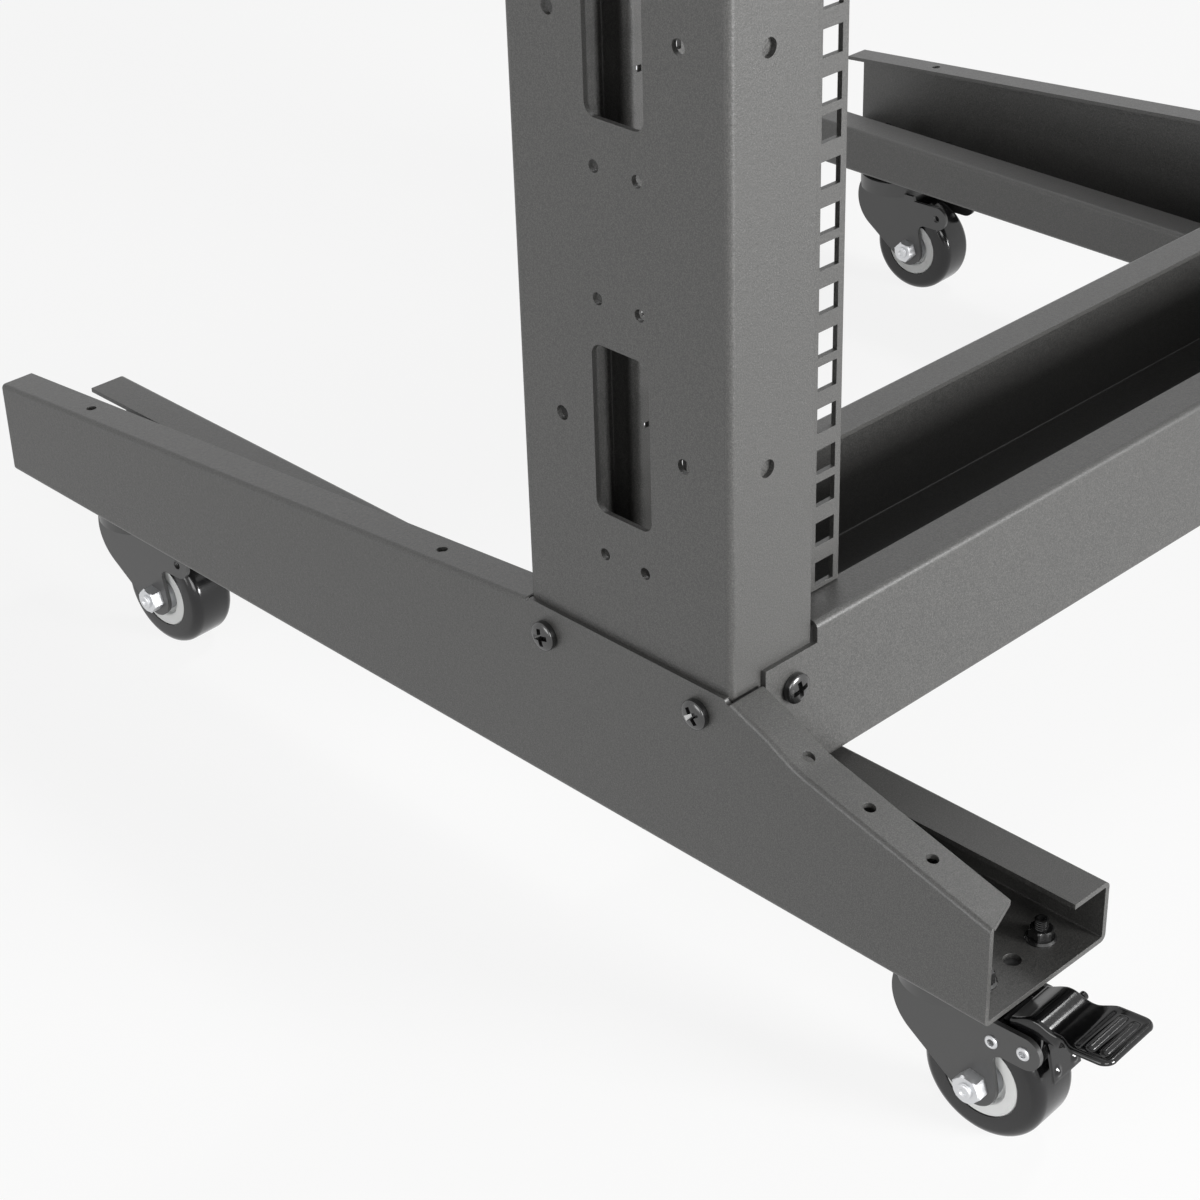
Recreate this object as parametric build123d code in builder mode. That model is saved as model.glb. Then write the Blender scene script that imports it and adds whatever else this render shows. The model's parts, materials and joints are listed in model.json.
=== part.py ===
import os
from math import cos, radians, sin

from build123d import *

os.makedirs("parts", exist_ok=True)

# A two post open frame rack for 19 inch equipment, on four swivel casters.
# Millimetres. Z = 0 is the floor, X runs along the crossbeams, and the equipment side faces -Y.

# Rack grid, from the 19 inch standard
rack_units = 16
unit_height = 44.45
unit_holes = (6.35, 22.225, 38.1)
opening_width = 450.0
hole_inset = 7.55
square_hole = 9.5

# Whole frame
sheet = 2.0
bend = 2.6
lip_fold = 1.9
fit = 0.4

# Feet: open channels, tall outside and low inside
foot_length = 566.0
foot_width = 65.0
inner_wall_height = 25.25
inner_lip = 19.0
outer_lip = 16.0
lip_gap = 1.2
toe_height = 40.4
knee_y = 84.0
knee_height = 62.1
crook_y = 98.0
crook_height = 69.3
shoulder_height = 75.8
post_wall_height = 76.2
tail_start_height = 75.2
tail_height = 43.9
knee_radius = 30.0
relief_radius = 1.6
lip_mitre = 4.5
cover_hole_radius = 2.25
cover_hole_edge = 8.5
front_cover_holes = (31.3, 58.6, 85.8)
cover_hole_past_post = 56.7
cover_hole_from_back = 59.0

# Posts: channels open towards each other
post_front = 115.6
post_depth = 100.0
post_flange = 40.0
slot_width = 26.8
slot_height = 63.8
slot_radius = 4.5
slot_pitch = 143.4
slot_count = 5
tie_hole_radius = 2.25
tie_hole_spacing = 19.6
tie_hole_gap = 16.6
side_hole_radius = 2.75
side_hole_spacing = 58.0
flange_hole_radius = 3.25
flange_hole_inset = 17.8

# Crossbeams: channels with inturned lips, bottom one open upwards
beam_height = 60.0
beam_lip = 17.0
beam_gap = 3.25
beam_relief = 8.0
beam_relief_extra = 1.5

# Rails with square holes, stepped back from the post's face
rail_face = 27.0
rail_step = 13.0
rail_leg = 32.0
rail_bend = 2.6
mark_size = 2.4
mark_inset = 4.0

# Casters with a total lock pedal on the front pair
caster_height = 71.0
front_caster_y = 37.3
back_caster_inset = 53.5
plate_width = 46.0
plate_length = 60.0
plate_thickness = 2.5
plate_corner = 4.0
plate_hole_radius = 3.25
plate_holes_x = 32.0
plate_holes_y = 45.0
stem_hole_radius = 3.25
stem_hole_y = 14.4
race_radius = 17.8
race_depth = 10.0
race_taper = 12.0
ball_gap = 0.5
pin_radius = 4.0
pin_head_radius = 7.0
pin_head_depth = 2.0
pin_head_taper = 20.0
fork_sheet = 2.0
crown_radius = 21.0
crown_rim = 2.0
rim_height = 6.0
knuckle_radius = 20.0
knuckle_trail = 3.0
knuckle_drop = 20.5
trail = 19.0
boss_radius = 9.0
ear_radius = 6.6
ear_trail = 38.0
ear_drop = 22.3
ear_corner = 4.0
wheel_radius = 25.0
wheel_width = 22.0
wheel_gap = 1.5
shoulder_width = 4.4
shoulder_drop = 4.8
shoulder_mid = 1.3
hub_radius = 15.6
hub_inset = 0.4
hub_recess_radius = 10.5
hub_recess_depth = 2.4
bearing_radius = 8.0
axle_radius = 4.0
thread_radius = 3.0
running_fit = 0.05
nut_across = 10.0
nut_height = 5.0
thread_end = 1.3
swivel_angles = {"front_left": 3.5, "front_right": 3.5, "back_left": 3.5, "back_right": 3.5}

# Brake pedal and leaf, pressed from sheet
pedal_sheet = 1.6
pedal_radius = 2.0
tail_trail = 30.0
tail_drop = 13.0
crest_trail = 39.5
crest_drop = 8.8
neck_trail = 46.0
neck_drop = 11.0
neck_end = 49.5
neck_width = 23.2
tread_start = 55.5
tread_end = 71.0
tread_drop = 10.0
tip_drop = 8.7
tread_width = 30.0
tread_corner = 3.5
rib_length = 17.0
rib_radius = 1.1
rib_trails = (60.6, 65.8)
flange_drop = 15.2
cheek_sheet = 1.2
cheek_radius = 4.8
brake_pin_radius = 2.0
pin_rivet_radius = 2.9
pin_rivet_height = 0.8
leaf_sheet = 1.2
leaf_width = 16.0
leaf_bend = 2.0
leaf_path = ((25.2, 17.3), (43.0, 18.3), (47.0, 35.0))
strap_foot_trail = 28.2
strap_foot_length = 5.0

# Worked out places
foot_bottom = caster_height
half_width = opening_width / 2 + rail_face + post_flange + 2 * sheet
turn = radians(swivel_angles["front_left"])
overhang = tread_end * cos(turn) + (tread_width / 2 - tread_corner) * sin(turn) - front_caster_y
foot_front = (overhang - foot_length) / 2
foot_back = foot_front + foot_length
front_caster_place = foot_front + front_caster_y
back_caster_place = foot_back - back_caster_inset
web_x = half_width - sheet
post_y = foot_front + post_front
post_back = post_y + post_depth
front_lip_end = post_y - lip_gap
back_lip_start = post_back + lip_gap
lip_notch_z = foot_bottom + min(shoulder_height, tail_start_height) - sheet - lip_gap
beam_bottom_z = foot_bottom + inner_wall_height + beam_gap
beam_top_z = beam_bottom_z + beam_height
rail_length = rack_units * unit_height
rail_bottom_z = beam_top_z + fit
rail_top_z = rail_bottom_z + rail_length
upper_bottom_z = rail_top_z + fit
upper_top_z = upper_bottom_z + beam_height
post_bottom_z = beam_bottom_z + bend
post_top_z = upper_top_z - bend
mid_z = (rail_bottom_z + rail_top_z) / 2
mid_post_y = post_y + post_depth / 2


def bent_sheet(plane, points, thickness, radius, side=Side.LEFT):
    """The section of a sheet bent along points on one of its faces."""
    with BuildSketch(plane) as section:
        with BuildLine():
            FilletPolyline(*points, radius=radius)
            offset(amount=thickness, side=side)
        make_face()
    return section.sketch


# Left foot
with BuildPart() as foot_left:
    run = Plane.XZ.offset(-foot_front)
    base = [
        (-half_width, foot_bottom + toe_height / 2),
        (-half_width, foot_bottom),
        (-half_width + foot_width, foot_bottom),
        (-half_width + foot_width, foot_bottom + inner_wall_height),
        (-half_width + foot_width - inner_lip, foot_bottom + inner_wall_height),
    ]
    extrude(bent_sheet(run, base, sheet, bend), amount=-foot_length)
    side_plane = Plane.YZ.offset(-half_width)
    with BuildSketch(side_plane):
        with BuildLine():
            slope = FilletPolyline(
                (foot_front, foot_bottom + toe_height),
                (foot_front + knee_y, foot_bottom + knee_height),
                (foot_front + crook_y, foot_bottom + crook_height),
                (front_lip_end, foot_bottom + shoulder_height),
                radius=knee_radius,
            )
            Polyline(
                slope @ 1,
                (front_lip_end, foot_bottom + bend),
                (foot_front, foot_bottom + bend),
                slope @ 0,
            )
        make_face()
        Polygon(
            (back_lip_start, foot_bottom + tail_start_height),
            (foot_back, foot_bottom + tail_height),
            (foot_back, foot_bottom + bend),
            (back_lip_start, foot_bottom + bend),
            align=None,
        )
    extrude(amount=sheet)
    front_lip = [
        (foot_front, foot_bottom + toe_height),
        (foot_front + knee_y, foot_bottom + knee_height),
        (foot_front + crook_y, foot_bottom + crook_height),
        (front_lip_end, foot_bottom + shoulder_height),
    ]
    extrude(bent_sheet(side_plane, front_lip, sheet, knee_radius, Side.RIGHT), amount=outer_lip)
    with BuildSketch(side_plane):
        Polygon(
            (back_lip_start, foot_bottom + tail_start_height),
            (foot_back, foot_bottom + tail_height),
            (foot_back, foot_bottom + tail_height - sheet),
            (back_lip_start, foot_bottom + tail_start_height - sheet),
            align=None,
        )
    extrude(amount=outer_lip)
    lip_folds = [
        edge
        for edge in foot_left.edges().group_by(Axis.X)[0]
        if edge.bounding_box().min.Z > foot_bottom + toe_height - fit
        and (edge.bounding_box().max.Y < front_lip_end + fit or edge.bounding_box().min.Y > back_lip_start - fit)
        and edge.length > 2 * fit
    ]
    fillet(lip_folds, lip_fold)
    with BuildSketch(side_plane):
        Polygon(
            (front_lip_end, foot_bottom + bend),
            (front_lip_end, foot_bottom + post_wall_height),
            (back_lip_start, foot_bottom + post_wall_height),
            (back_lip_start, foot_bottom + bend),
            align=None,
        )
    extrude(amount=sheet)
    with BuildSketch(Plane.XY.offset(foot_bottom)):
        for caster_place in (front_caster_place, back_caster_place):
            with Locations((-half_width + foot_width / 2, caster_place)):
                with GridLocations(plate_holes_x, plate_holes_y, 2, 2):
                    Circle(plate_hole_radius)
        with Locations((-half_width + foot_width / 2, foot_front + stem_hole_y)):
            Circle(stem_hole_radius)
    extrude(amount=sheet, mode=Mode.SUBTRACT)
    with BuildSketch(Plane.XY.offset(foot_bottom + bend)):
        for hole_y in front_cover_holes:
            with Locations((-half_width + cover_hole_edge, foot_front + hole_y)):
                Circle(cover_hole_radius)
        for hole_y in (post_back + cover_hole_past_post, foot_back - cover_hole_from_back):
            with Locations((-half_width + cover_hole_edge, hole_y)):
                Circle(cover_hole_radius)
    extrude(amount=post_wall_height, mode=Mode.SUBTRACT)
    with BuildSketch(Plane.XY.offset(foot_bottom + bend)):
        Polygon(
            (-half_width + sheet, foot_front),
            (-half_width + outer_lip, foot_front),
            (-half_width + outer_lip, foot_front + lip_mitre),
            align=None,
        )
    extrude(amount=toe_height, mode=Mode.SUBTRACT)
    with BuildSketch(side_plane):
        with Locations(
            (front_lip_end + relief_radius / 2, foot_bottom + post_wall_height),
            (back_lip_start - relief_radius / 2, foot_bottom + post_wall_height),
        ):
            Circle(relief_radius)
    extrude(amount=outer_lip, mode=Mode.SUBTRACT)
foot_left.part.label = "foot_left"
export_step(foot_left.part, "parts/foot_left.step")

with BuildPart() as foot_right:
    mirror(foot_left.part, about=Plane.YZ)
foot_right.part.label = "foot_right"
export_step(foot_right.part, "parts/foot_right.step")

# Left post
slot_heights = [mid_z + (i - (slot_count - 1) / 2) * slot_pitch for i in range(slot_count)]
with BuildPart() as post_left:
    channel = [
        (-web_x + post_flange, post_y),
        (-web_x, post_y),
        (-web_x, post_back),
        (-web_x + post_flange, post_back),
    ]
    bottom_plane = Plane.XY.offset(post_bottom_z)
    section = bent_sheet(bottom_plane, channel, sheet, bend, Side.RIGHT)
    extrude(section, amount=post_top_z - post_bottom_z)
    with BuildSketch(Plane.YZ.offset(-web_x)):
        for slot_z in slot_heights:
            with Locations((mid_post_y, slot_z)):
                RectangleRounded(slot_width, slot_height, slot_radius)
            with Locations((mid_post_y, slot_z)):
                with GridLocations(side_hole_spacing, 1, 2, 1):
                    Circle(side_hole_radius)
            with Locations((mid_post_y, slot_z)):
                with GridLocations(tie_hole_spacing, slot_height + 2 * tie_hole_gap, 2, 2):
                    Circle(tie_hole_radius)
    extrude(amount=sheet, mode=Mode.SUBTRACT)
    with BuildSketch(Plane.XZ.offset(-post_y)):
        for slot_z in slot_heights:
            with Locations((-web_x + flange_hole_inset, slot_z)):
                Circle(flange_hole_radius)
    extrude(amount=-post_depth, mode=Mode.SUBTRACT)
post_left.part.label = "post_left"
export_step(post_left.part, "parts/post_left.step")

with BuildPart() as post_right:
    mirror(post_left.part, about=Plane.YZ)
post_right.part.label = "post_right"
export_step(post_right.part, "parts/post_right.step")

# Bottom crossbeam
with BuildPart() as beam_bottom:
    beam_front = post_y - sheet
    beam_back = post_back + sheet
    channel = [
        (beam_front + beam_lip, beam_top_z),
        (beam_front, beam_top_z),
        (beam_front, beam_bottom_z),
        (beam_back, beam_bottom_z),
        (beam_back, beam_top_z),
        (beam_back - beam_lip, beam_top_z),
    ]
    end_plane = Plane.YZ.offset(-web_x)
    extrude(bent_sheet(end_plane, channel, sheet, bend), amount=2 * web_x)
    with BuildSketch(Plane.XZ.offset(-beam_front)):
        for hand in (-1, 1):
            with Locations((hand * (web_x - (post_flange + beam_relief_extra) / 2), beam_top_z)):
                Rectangle(post_flange + beam_relief_extra, 2 * beam_relief)
            with Locations((hand * (half_width - (outer_lip + lip_gap) / 2), beam_top_z)):
                Rectangle(outer_lip + lip_gap, 2 * (beam_top_z - lip_notch_z))
    extrude(amount=-(beam_back - beam_front), mode=Mode.SUBTRACT)
beam_bottom.part.label = "beam_bottom"
export_step(beam_bottom.part, "parts/beam_bottom.step")

with BuildPart() as beam_top:
    mirror(beam_bottom.part, about=Plane.XY.offset(mid_z))
beam_top.part.label = "beam_top"
export_step(beam_top.part, "parts/beam_top.step")

# Rails: the left front one is made, and the others are its mirror images
with BuildPart() as rail_front_left:
    stepped = [
        (-web_x + post_flange + sheet - rail_leg, post_y + sheet),
        (-web_x + post_flange + sheet, post_y + sheet),
        (-web_x + post_flange + sheet, post_y + rail_step),
        (-opening_width / 2, post_y + rail_step),
    ]
    extrude(bent_sheet(Plane.XY.offset(rail_bottom_z), stepped, sheet, rail_bend), amount=rail_length)
    with BuildSketch(Plane.XZ.offset(-post_y)):
        for unit in range(rack_units):
            for hole in unit_holes:
                with Locations((-opening_width / 2 - hole_inset, rail_bottom_z + unit * unit_height + hole)):
                    Rectangle(square_hole, square_hole)
        for unit in range(1, rack_units):
            with Locations((-web_x + post_flange + sheet + mark_inset, rail_bottom_z + unit * unit_height)):
                Rectangle(mark_size, mark_size)
    extrude(amount=-2 * rail_step, mode=Mode.SUBTRACT)
rail_front_left.part.label = "rail_front_left"
export_step(rail_front_left.part, "parts/rail_front_left.step")

with BuildPart() as rail_front_right:
    mirror(rail_front_left.part, about=Plane.YZ)
rail_front_right.part.label = "rail_front_right"
export_step(rail_front_right.part, "parts/rail_front_right.step")

with BuildPart() as rail_rear_left:
    mirror(rail_front_left.part, about=Plane.XZ.offset(-mid_post_y))
rail_rear_left.part.label = "rail_rear_left"
export_step(rail_rear_left.part, "parts/rail_rear_left.step")

with BuildPart() as rail_rear_right:
    mirror(rail_rear_left.part, about=Plane.YZ)
rail_rear_right.part.label = "rail_rear_right"
export_step(rail_rear_right.part, "parts/rail_rear_right.step")

# Caster forms, about the swivel axis: z = 0 is the plate's top, and the wheel trails towards -Y
leg_inside = wheel_width / 2 + wheel_gap
leg_outside = leg_inside + fork_sheet
axle_drop = caster_height - wheel_radius
crown_drop = plate_thickness + race_depth + ball_gap
crown_bottom = -crown_drop - fork_sheet

with BuildPart() as plate_form:
    with BuildSketch(Plane.XY.offset(-plate_thickness)):
        RectangleRounded(plate_width, plate_length, plate_corner)
        with GridLocations(plate_holes_x, plate_holes_y, 2, 2):
            Circle(plate_hole_radius, mode=Mode.SUBTRACT)
    extrude(amount=plate_thickness)
    with BuildSketch(Plane.XY.offset(-plate_thickness)):
        Circle(race_radius)
    extrude(amount=-race_depth, taper=race_taper)
    with BuildSketch(Plane.XY.offset(-plate_thickness - race_depth)):
        Circle(pin_radius)
    extrude(amount=-(ball_gap + fork_sheet + fit))
    with BuildSketch(Plane.XY.offset(crown_bottom - fit)):
        Circle(pin_head_radius)
    extrude(amount=-pin_head_depth, taper=pin_head_taper)

with BuildPart() as fork_form:
    with BuildSketch(Plane.XY.offset(crown_bottom)):
        Circle(crown_radius)
        Circle(pin_radius + running_fit, mode=Mode.SUBTRACT)
    extrude(amount=fork_sheet)
    with BuildSketch(Plane.XY.offset(-crown_drop)):
        Circle(crown_radius)
        Circle(crown_radius - crown_rim, mode=Mode.SUBTRACT)
    extrude(amount=rim_height)
    with BuildSketch(Plane.YZ.offset(leg_inside)) as leg:
        with BuildSketch(Plane.XY, mode=Mode.PRIVATE) as swept:
            with Locations((-knuckle_trail, -knuckle_drop)):
                Circle(knuckle_radius)
            with Locations((-trail, -axle_drop)):
                Circle(boss_radius)
            make_hull()
        add(swept.sketch)
        with BuildSketch(Plane.XY, mode=Mode.PRIVATE) as ear:
            with Locations((-trail, -ear_drop), (-ear_trail, -ear_drop)):
                Circle(ear_radius)
            make_hull()
        add(ear.sketch)
        armpit = (-trail - boss_radius, -ear_drop - ear_radius)
        fillet(leg.vertices().sort_by_distance(armpit)[0], ear_corner)
        with Locations((-knuckle_trail, -crown_drop)):
            Rectangle(2 * knuckle_radius, crown_drop, align=(Align.CENTER, Align.MIN), mode=Mode.SUBTRACT)
        with Locations((-trail, -axle_drop)):
            Circle(thread_radius, mode=Mode.SUBTRACT)
        with Locations((-ear_trail, -ear_drop)):
            Circle(brake_pin_radius, mode=Mode.SUBTRACT)
    extrude(amount=fork_sheet)
    mirror(about=Plane.YZ)

axle_plane = Plane(origin=(0, -trail, -axle_drop), x_dir=(0, 1, 0), z_dir=(1, 0, 0))
with BuildPart() as axle_form:
    for start, end, radius in (
        (-leg_inside, leg_inside, axle_radius),
        (-leg_outside - nut_height - thread_end, leg_outside + nut_height, thread_radius),
    ):
        with BuildSketch(axle_plane.offset(start)):
            Circle(radius)
        extrude(amount=end - start)
    for start, depth in ((-leg_outside, -nut_height), (leg_outside, nut_height)):
        with BuildSketch(axle_plane.offset(start)):
            RegularPolygon(nut_across / 2, 6, major_radius=False)
        extrude(amount=depth)

with BuildPart() as bearing_form:
    with BuildSketch(axle_plane.offset(-leg_inside + running_fit)):
        Circle(bearing_radius)
        Circle(axle_radius + running_fit, mode=Mode.SUBTRACT)
    extrude(amount=2 * (leg_inside - running_fit))

half_hub = wheel_width / 2 - hub_inset
with BuildPart() as hub_form:
    with BuildSketch(axle_plane.offset(-half_hub)):
        Circle(hub_radius)
        Circle(bearing_radius + running_fit, mode=Mode.SUBTRACT)
    extrude(amount=2 * half_hub)
    for start, depth in ((-half_hub, hub_recess_depth), (half_hub, -hub_recess_depth)):
        with BuildSketch(axle_plane.offset(start)):
            Circle(hub_recess_radius)
        extrude(amount=depth, mode=Mode.SUBTRACT)

# The tread's section is turned about the axle; its shoulders are three flats each
half_tyre = wheel_width / 2
with BuildPart() as tyre_form:
    with BuildSketch(Plane.XY.offset(-axle_drop)):
        with BuildLine():
            Polyline(
                (-half_tyre, -trail + hub_radius),
                (-half_tyre, -trail + wheel_radius - shoulder_drop),
                (-half_tyre + shoulder_mid, -trail + wheel_radius - shoulder_mid - fit),
                (-half_tyre + shoulder_width, -trail + wheel_radius),
                (half_tyre - shoulder_width, -trail + wheel_radius),
                (half_tyre - shoulder_mid, -trail + wheel_radius - shoulder_mid - fit),
                (half_tyre, -trail + wheel_radius - shoulder_drop),
                (half_tyre, -trail + hub_radius),
                close=True,
            )
        make_face()
    revolve(axis=Axis((0, -trail, -axle_drop), (1, 0, 0)))

# The pedal's sheet is bent along its length and then cut to its outline, seen from above
cheek_outside = leg_inside - fit
pedal_path = [
    (-tail_trail, -tail_drop),
    (-crest_trail, -crest_drop),
    (-neck_trail, -neck_drop),
    (-tread_start, -tread_drop),
    (-tread_end, -tip_drop),
]
with BuildPart() as pedal_form:
    section = bent_sheet(Plane.YZ.offset(-tread_width / 2), pedal_path, pedal_sheet, pedal_radius)
    extrude(section, amount=tread_width)
    with BuildSketch() as outline:
        Polygon(
            (neck_width / 2, -tail_trail),
            (neck_width / 2, -neck_end),
            (tread_width / 2, -tread_start),
            (tread_width / 2, -tread_end),
            (-tread_width / 2, -tread_end),
            (-tread_width / 2, -tread_start),
            (-neck_width / 2, -neck_end),
            (-neck_width / 2, -tail_trail),
            align=None,
        )
        fillet(outline.vertices().group_by(Axis.Y)[0], tread_corner)
    extrude(amount=-axle_drop, mode=Mode.INTERSECT)
    for rib_trail in rib_trails:
        rise = (rib_trail - tread_start) / (tread_end - tread_start)
        rib_drop = tread_drop + (tip_drop - tread_drop) * rise
        with BuildSketch(Plane.YZ.offset(-rib_length / 2)):
            with Locations((-rib_trail, -rib_drop)):
                Circle(rib_radius)
        extrude(amount=rib_length)
    for inner in (-cheek_outside, cheek_outside - cheek_sheet):
        with BuildSketch(Plane.YZ.offset(inner)):
            Polygon(
                *[(y, z - pedal_sheet / 2) for y, z in pedal_path[:3]],
                (-neck_end, -neck_drop - pedal_sheet / 2),
                (-neck_end, -flange_drop),
                (-tail_trail, -flange_drop),
                align=None,
            )
            with BuildSketch(mode=Mode.PRIVATE) as lug:
                with Locations((-ear_trail, -flange_drop), (-ear_trail, -ear_drop)):
                    Circle(cheek_radius)
                make_hull()
            add(lug.sketch)
        extrude(amount=cheek_sheet)
    with BuildSketch(Plane.YZ.offset(-leg_outside)):
        with Locations((-ear_trail, -ear_drop)):
            Circle(brake_pin_radius - running_fit)
    extrude(amount=2 * leg_outside)
    for start, depth in ((-leg_outside, -pin_rivet_height), (leg_outside, pin_rivet_height)):
        with BuildSketch(Plane.YZ.offset(start)):
            with Locations((-ear_trail, -ear_drop)):
                Circle(pin_rivet_radius)
        extrude(amount=depth)

# The brake leaf's back end rests between the fork's legs, and its tip hangs in front of the tread
with BuildPart() as leaf_form:
    strap = [(-forward, -drop) for forward, drop in leaf_path]
    section = bent_sheet(Plane.YZ.offset(-leaf_width / 2), strap, leaf_sheet, leaf_bend)
    extrude(section, amount=leaf_width)
    strap_slope = (leaf_path[1][1] - leaf_path[0][1]) / (leaf_path[1][0] - leaf_path[0][0])
    strap_foot_drop = leaf_path[0][1] + strap_slope * (strap_foot_trail - leaf_path[0][0])
    with BuildSketch(Plane.YZ.offset(-leg_inside)):
        with Locations((-strap_foot_trail, -strap_foot_drop - leaf_sheet / 2)):
            Rectangle(strap_foot_length, leaf_sheet)
    extrude(amount=2 * leg_inside)

forms = {
    "caster_plate": plate_form.part,
    "caster_fork": fork_form.part,
    "caster_axle": axle_form.part,
    "wheel_bearing": bearing_form.part,
    "wheel_hub": hub_form.part,
    "wheel_tyre": tyre_form.part,
}
brake_forms = {"brake_pedal": pedal_form.part, "brake_leaf": leaf_form.part}
caster_x = half_width - foot_width / 2
corners = {
    "front_left": (-caster_x, front_caster_place),
    "front_right": (caster_x, front_caster_place),
    "back_left": (-caster_x, back_caster_place),
    "back_right": (caster_x, back_caster_place),
}
for corner, (x, y) in corners.items():
    pieces = dict(forms, **brake_forms) if corner.startswith("front") else forms
    for name, form in pieces.items():
        angle = 0 if name == "caster_plate" else swivel_angles[corner]
        piece = form.moved(Location((x, y, caster_height), (0, 0, angle)))
        piece.label = f"{name}_{corner}"
        export_step(piece, f"parts/{name}_{corner}.step")
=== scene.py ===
import json
import math

import bmesh
import bpy
from mathutils import Matrix, Vector


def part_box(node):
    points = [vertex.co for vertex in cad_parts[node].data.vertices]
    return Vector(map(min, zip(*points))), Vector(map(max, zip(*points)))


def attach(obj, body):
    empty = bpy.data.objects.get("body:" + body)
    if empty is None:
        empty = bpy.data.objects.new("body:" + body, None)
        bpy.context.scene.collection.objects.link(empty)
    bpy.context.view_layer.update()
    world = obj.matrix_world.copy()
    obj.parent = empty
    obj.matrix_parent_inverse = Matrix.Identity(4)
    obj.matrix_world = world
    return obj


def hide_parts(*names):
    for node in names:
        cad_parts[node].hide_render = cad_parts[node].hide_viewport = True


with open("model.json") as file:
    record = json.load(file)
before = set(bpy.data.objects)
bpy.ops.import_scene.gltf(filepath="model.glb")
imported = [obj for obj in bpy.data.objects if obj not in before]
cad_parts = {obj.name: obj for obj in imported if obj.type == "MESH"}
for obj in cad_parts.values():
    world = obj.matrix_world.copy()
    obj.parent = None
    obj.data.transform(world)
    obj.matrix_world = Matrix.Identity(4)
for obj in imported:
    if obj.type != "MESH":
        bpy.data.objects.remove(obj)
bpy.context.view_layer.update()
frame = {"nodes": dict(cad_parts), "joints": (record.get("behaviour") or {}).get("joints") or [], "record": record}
nodes = frame["nodes"]
mm = 0.001
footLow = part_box("foot_left")[0]
print("frame loaded")


# Node and colour tools

def linear(hexColour):
    channels = [int(hexColour[i:i + 2], 16) / 255 for i in (1, 3, 5)]
    return [c / 12.92 if c <= 0.04045 else ((c + 0.055) / 1.055) ** 2.4 for c in channels] + [1.0]


def addNode(tree, kind, settings=None, links=None):
    node = tree.nodes.new(kind)
    for name, value in (settings or {}).items():
        if isinstance(name, int) or name in node.inputs:
            node.inputs[name].default_value = value
        else:
            setattr(node, name, value)
    for name, source in (links or {}).items():
        tree.links.new(source, node.inputs[name])
    return node


def newMaterial(name):
    material = bpy.data.materials.new(name)
    material.use_nodes = True
    material.node_tree.nodes.clear()
    return material, material.node_tree


# Studio: white floor and surround, low soft lamps in front and left, which leave the channels' insides dark

studio = {
    "floorColour": "#f4f4f3",
    "surroundColour": "#ffffff",
    "ambient": 0.05,
    "shownStrength": 1.0,   # plain white where the surround is seen or mirrored
    "floorSize": 24.0,
    "floorLift": 0.86,      # share of plain white in the paper near the rack, the rest takes the shadow
    "plainFrom": 1.0,       # metres from the rack's middle where the paper turns plain white
    "plainTo": 2.6,
}
lampAim = Vector((-0.1, 0.0, 0.3))
lamps = {
    "lowFrontSoftbox": {"place": (0.6, -2.8, 0.7), "size": 1.0, "watts": 140},
    "frontLeftSoftbox": {"place": (-1.8, -2.4, 1.2), "size": 1.4, "watts": 38},
    "leftSoftbox": {"place": (-2.9, 0.2, 0.8), "size": 1.4, "watts": 24},
    "highSoftbox": {"place": (1.5, 0.0, 2.45), "size": 0.45, "watts": 15},
}


def seenDirectly(tree):    # 1 where the eye or a mirrored or refracted ray meets the surface, else 0
    path = addNode(tree, "ShaderNodeLightPath").outputs
    first = addNode(tree, "ShaderNodeMath", {"operation": "MAXIMUM"},
                    {0: path["Is Camera Ray"], 1: path["Is Glossy Ray"]})
    second = addNode(tree, "ShaderNodeMath", {"operation": "MAXIMUM"},
                     {0: first.outputs[0], 1: path["Is Transmission Ray"]})
    return second.outputs[0]


def buildSurround():
    world = bpy.data.worlds.new("studioSurround")
    bpy.context.scene.world = world
    world.use_nodes = True
    tree = world.node_tree
    tree.nodes.clear()
    colour = linear(studio["surroundColour"])
    ambient = addNode(tree, "ShaderNodeBackground", {"Color": colour, "Strength": studio["ambient"]})
    shown = addNode(tree, "ShaderNodeBackground", {"Color": colour, "Strength": studio["shownStrength"]})
    mix = addNode(tree, "ShaderNodeMixShader",
                  links={0: seenDirectly(tree), 1: ambient.outputs[0], 2: shown.outputs[0]})
    addNode(tree, "ShaderNodeOutputWorld", links={"Surface": mix.outputs[0]})


def makePaperSweep():    # matt white paper roll: takes a soft shadow and fades into the white surround
    material, tree = newMaterial("paperSweep")
    place = addNode(tree, "ShaderNodeTexCoord")
    away = addNode(tree, "ShaderNodeVectorMath", {"operation": "LENGTH"}, {0: place.outputs["Object"]})
    lift = addNode(tree, "ShaderNodeMapRange",
                   {"From Min": studio["plainFrom"], "From Max": studio["plainTo"],
                    "To Min": studio["floorLift"], "To Max": 1.0},
                   {"Value": away.outputs["Value"]})
    share = addNode(tree, "ShaderNodeMath", {"operation": "MULTIPLY"},
                    {0: seenDirectly(tree), 1: lift.outputs[0]})
    paper = addNode(tree, "ShaderNodeBsdfDiffuse", {"Color": linear(studio["floorColour"])})
    glow = addNode(tree, "ShaderNodeEmission",
                   {"Color": linear(studio["surroundColour"]), "Strength": studio["shownStrength"]})
    mix = addNode(tree, "ShaderNodeMixShader",
                  links={0: share.outputs[0], 1: paper.outputs[0], 2: glow.outputs[0]})
    addNode(tree, "ShaderNodeOutputMaterial", links={"Surface": mix.outputs[0]})
    return material


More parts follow.
